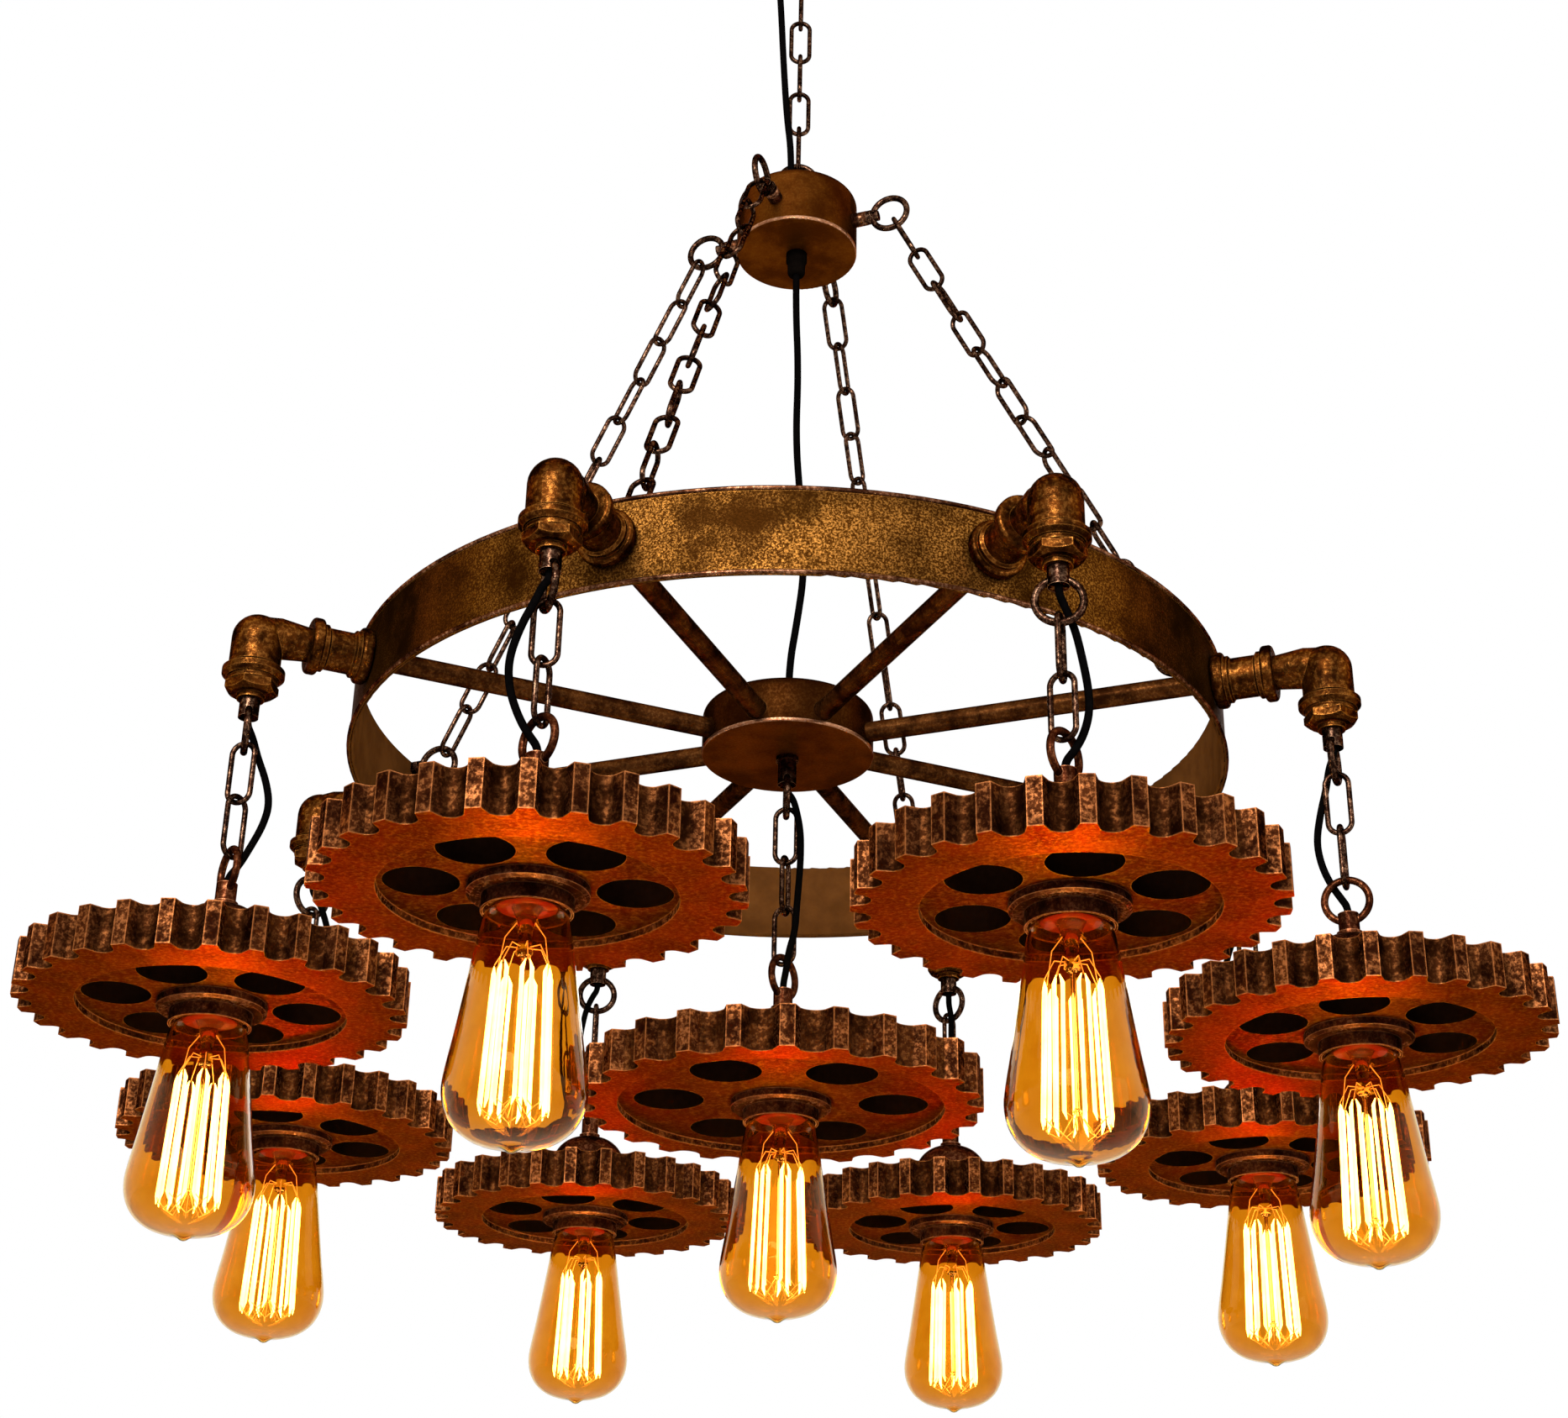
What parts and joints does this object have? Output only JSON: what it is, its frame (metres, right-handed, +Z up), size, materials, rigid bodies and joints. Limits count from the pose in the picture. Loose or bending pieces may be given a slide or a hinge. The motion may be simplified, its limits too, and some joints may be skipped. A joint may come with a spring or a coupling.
{
  "type": "industrial gear chandelier",
  "caption": "Chain-hung wheel chandelier with pipe arms, toothed gear pendants and tapered filament bulbs.",
  "frame": {"origin": "centre of the ceiling face, on the top of the ceiling bracket and level with the canopy's rim", "axes": "+Z up into the ceiling, -Y towards the front pendants, +X to the right seen from the front"},
  "size_m": [0.787, 0.787, 1.0162],
  "materials": {
    "canopy_bronze": "antique bronze paint, satin",
    "chain_bronze": "aged bronze with copper highlights",
    "hub_bronze": "antique bronze paint, copper edge",
    "ring_gold": "dark bronze with mottled gold dry brush",
    "spoke_bronze": "dark bronze, satin",
    "pipe_bronze": "dark bronze with gold rubbed edges",
    "grip_black": "matt black",
    "cable_black": "black sheath, satin",
    "gear_bronze": "antique bronze paint over cast aluminium, gold rubbed teeth",
    "holder_bronze": "dark bronze, satin",
    "bulb_glass": "clear amber"
  },
  "bodies": {
    "canopy": {"ceiling_bracket": "canopy_bronze", "ceiling_canopy": "canopy_bronze", "canopy_loop": "chain_bronze", "canopy_grip": "grip_black", "upper_cable": "cable_black"},
    "frame": {"main_chain": "chain_bronze", "upper_hub": "hub_bronze", "hub_covers": "hub_bronze", "upper_hub_eyebolts": "chain_bronze", "suspension_chain_1": "chain_bronze", "suspension_chain_2": "chain_bronze", "suspension_chain_3": "chain_bronze", "suspension_chain_4": "chain_bronze", "ring_eyebolts": "chain_bronze", "wheel_ring": "ring_gold", "wheel_spokes": "spoke_bronze", "wheel_hub": "hub_bronze", "arm_couplings": "pipe_bronze", "arm_elbows": "pipe_bronze", "arm_bushings": "pipe_bronze", "pendant_loops": "chain_bronze", "cable_grips": "grip_black", "lower_cable": "cable_black", "drop_cords": "cable_black"},
    "pendant_front_right": {"drop_chain_front_right": "chain_bronze", "lamp_holder_front_right": "holder_bronze", "gear_front_right": "gear_bronze", "bulb_front_right": "bulb_glass"},
    "pendant_front_left": {"drop_chain_front_left": "chain_bronze", "lamp_holder_front_left": "holder_bronze", "gear_front_left": "gear_bronze", "bulb_front_left": "bulb_glass"},
    "pendant_right": {"drop_chain_right": "chain_bronze", "lamp_holder_right": "holder_bronze", "gear_right": "gear_bronze", "bulb_right": "bulb_glass"},
    "pendant_left": {"drop_chain_left": "chain_bronze", "lamp_holder_left": "holder_bronze", "gear_left": "gear_bronze", "bulb_left": "bulb_glass"},
    "pendant_back_right": {"drop_chain_back_right": "chain_bronze", "lamp_holder_back_right": "holder_bronze", "gear_back_right": "gear_bronze", "bulb_back_right": "bulb_glass"},
    "pendant_back_left": {"drop_chain_back_left": "chain_bronze", "lamp_holder_back_left": "holder_bronze", "gear_back_left": "gear_bronze", "bulb_back_left": "bulb_glass"},
    "pendant_rear_right": {"drop_chain_rear_right": "chain_bronze", "lamp_holder_rear_right": "holder_bronze", "gear_rear_right": "gear_bronze", "bulb_rear_right": "bulb_glass"},
    "pendant_rear_left": {"drop_chain_rear_left": "chain_bronze", "lamp_holder_rear_left": "holder_bronze", "gear_rear_left": "gear_bronze", "bulb_rear_left": "bulb_glass"},
    "pendant_centre": {"drop_chain_centre": "chain_bronze", "lamp_holder_centre": "holder_bronze", "gear_centre": "gear_bronze", "bulb_centre": "bulb_glass"}
  },
  "joints": [
    {"name": "chandelier_sway", "type": "hinge", "parent": "canopy", "child": "frame", "pos_m": [0, 0, -0.06335], "axis": [0, 1, 0], "range_deg": [-12, 12], "deforming": ["upper_cable"]},
    {"name": "pendant_front_right_swing", "type": "hinge", "parent": "frame", "child": "pendant_front_right", "pos_m": [0.12192, -0.29435, -0.74374], "axis": [0.989, -0.1478, 0], "range_deg": [-15, 15], "deforming": ["drop_cords"]},
    {"name": "pendant_front_left_swing", "type": "hinge", "parent": "frame", "child": "pendant_front_left", "pos_m": [-0.12192, -0.29435, -0.74374], "axis": [-0.3256, 0.9455, 0], "range_deg": [-15, 15], "deforming": ["drop_cords"]},
    {"name": "pendant_right_swing", "type": "hinge", "parent": "frame", "child": "pendant_right", "pos_m": [0.29435, -0.12192, -0.74374], "axis": [0.3827, 0.9239, 0], "range_deg": [-15, 15], "deforming": ["drop_cords"]},
    {"name": "pendant_left_swing", "type": "hinge", "parent": "frame", "child": "pendant_left", "pos_m": [-0.29435, -0.12192, -0.74374], "axis": [0.2164, -0.9763, 0], "range_deg": [-15, 15], "deforming": ["drop_cords"]},
    {"name": "pendant_back_right_swing", "type": "hinge", "parent": "frame", "child": "pendant_back_right", "pos_m": [0.29435, 0.12192, -0.74374], "axis": [-0.3827, 0.9239, 0], "range_deg": [-15, 15], "deforming": ["drop_cords"]},
    {"name": "pendant_back_left_swing", "type": "hinge", "parent": "frame", "child": "pendant_back_left", "pos_m": [-0.29435, 0.12192, -0.74374], "axis": [-0.6756, -0.7373, 0], "range_deg": [-15, 15], "deforming": ["drop_cords"]},
    {"name": "pendant_rear_right_swing", "type": "hinge", "parent": "frame", "child": "pendant_rear_right", "pos_m": [0.12192, 0.29435, -0.74374], "axis": [-0.7254, 0.6884, 0], "range_deg": [-15, 15], "deforming": ["drop_cords"]},
    {"name": "pendant_rear_left_swing", "type": "hinge", "parent": "frame", "child": "pendant_rear_left", "pos_m": [-0.12192, 0.29435, -0.74374], "axis": [-0.9981, -0.061, 0], "range_deg": [-15, 15], "deforming": ["drop_cords"]},
    {"name": "pendant_centre_swing", "type": "hinge", "parent": "frame", "child": "pendant_centre", "pos_m": [0, 0, -0.72004], "axis": [0, 1, 0], "range_deg": [-15, 15], "deforming": ["drop_cords"]}
  ]
}
